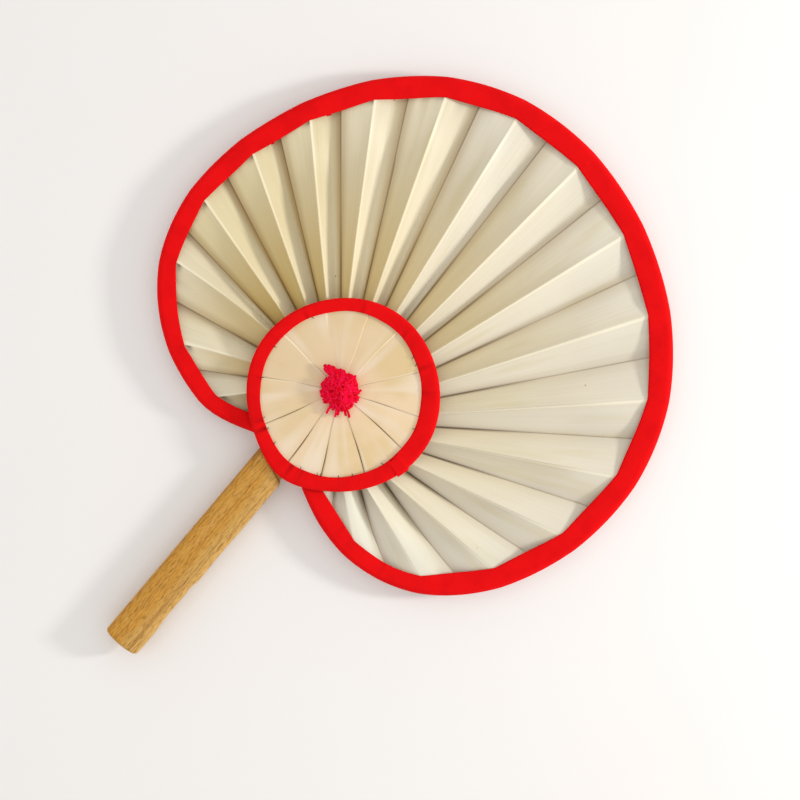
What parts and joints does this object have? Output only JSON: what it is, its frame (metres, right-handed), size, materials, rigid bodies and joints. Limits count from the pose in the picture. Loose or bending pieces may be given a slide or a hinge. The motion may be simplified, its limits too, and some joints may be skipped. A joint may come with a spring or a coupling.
{
  "type": "palm leaf hand fan",
  "caption": "Fixed pleated palm leaf hand fan with a red cloth rim, lapped leaf rosettes at the hub, a wool tuft and a straight wooden handle.",
  "frame": {"origin": "on the resting plane, under the middle of the whole fan's box", "axes": "+Z out of the fan's front face, +Y along the fan away from the handle, +X to the right seen from the front with the handle down"},
  "size_m": [0.2666, 0.3414, 0.0224],
  "materials": {
    "leaf": "dried palm leaf, satin, tan at the left and cream at the right",
    "rosette_leaf": "dried palm leaf, smooth satin, warm cream",
    "red_cloth": "plain red cotton tape, matt, sewn over the edge",
    "handle_wood": "golden tan wood, sanded, unvarnished",
    "pink_wool": "cut wool yarn, pink-red, matt"
  },
  "bodies": {
    "root": {"leaf_strip_01": "leaf", "leaf_strip_02": "leaf", "leaf_strip_03": "leaf", "leaf_strip_04": "leaf", "leaf_strip_05": "leaf", "leaf_strip_06": "leaf", "leaf_strip_07": "leaf", "leaf_strip_08": "leaf", "leaf_strip_09": "leaf", "leaf_strip_10": "leaf", "leaf_strip_11": "leaf", "leaf_strip_12": "leaf", "leaf_strip_13": "leaf", "leaf_strip_14": "leaf", "leaf_strip_15": "leaf", "leaf_strip_16": "leaf", "leaf_strip_17": "leaf", "leaf_strip_18": "leaf", "leaf_strip_19": "leaf", "rim_binding": "red_cloth", "front_leaf_wedge_01": "rosette_leaf", "front_leaf_wedge_02": "rosette_leaf", "front_leaf_wedge_03": "rosette_leaf", "front_leaf_wedge_04": "rosette_leaf", "front_leaf_wedge_05": "rosette_leaf", "front_leaf_wedge_06": "rosette_leaf", "front_leaf_wedge_07": "rosette_leaf", "front_leaf_wedge_08": "rosette_leaf", "front_leaf_wedge_09": "rosette_leaf", "front_leaf_wedge_10": "rosette_leaf", "front_leaf_wedge_11": "rosette_leaf", "front_leaf_wedge_12": "rosette_leaf", "front_ring_binding": "red_cloth", "back_leaf_wedge_01": "rosette_leaf", "back_leaf_wedge_02": "rosette_leaf", "back_leaf_wedge_03": "rosette_leaf", "back_leaf_wedge_04": "rosette_leaf", "back_leaf_wedge_05": "rosette_leaf", "back_leaf_wedge_06": "rosette_leaf", "back_leaf_wedge_07": "rosette_leaf", "back_leaf_wedge_08": "rosette_leaf", "back_leaf_wedge_09": "rosette_leaf", "back_leaf_wedge_10": "rosette_leaf", "back_leaf_wedge_11": "rosette_leaf", "back_leaf_wedge_12": "rosette_leaf", "back_ring_binding": "red_cloth", "handle": "handle_wood", "tuft_tie": "pink_wool", "tuft": "pink_wool"}
  },
  "joints": []
}
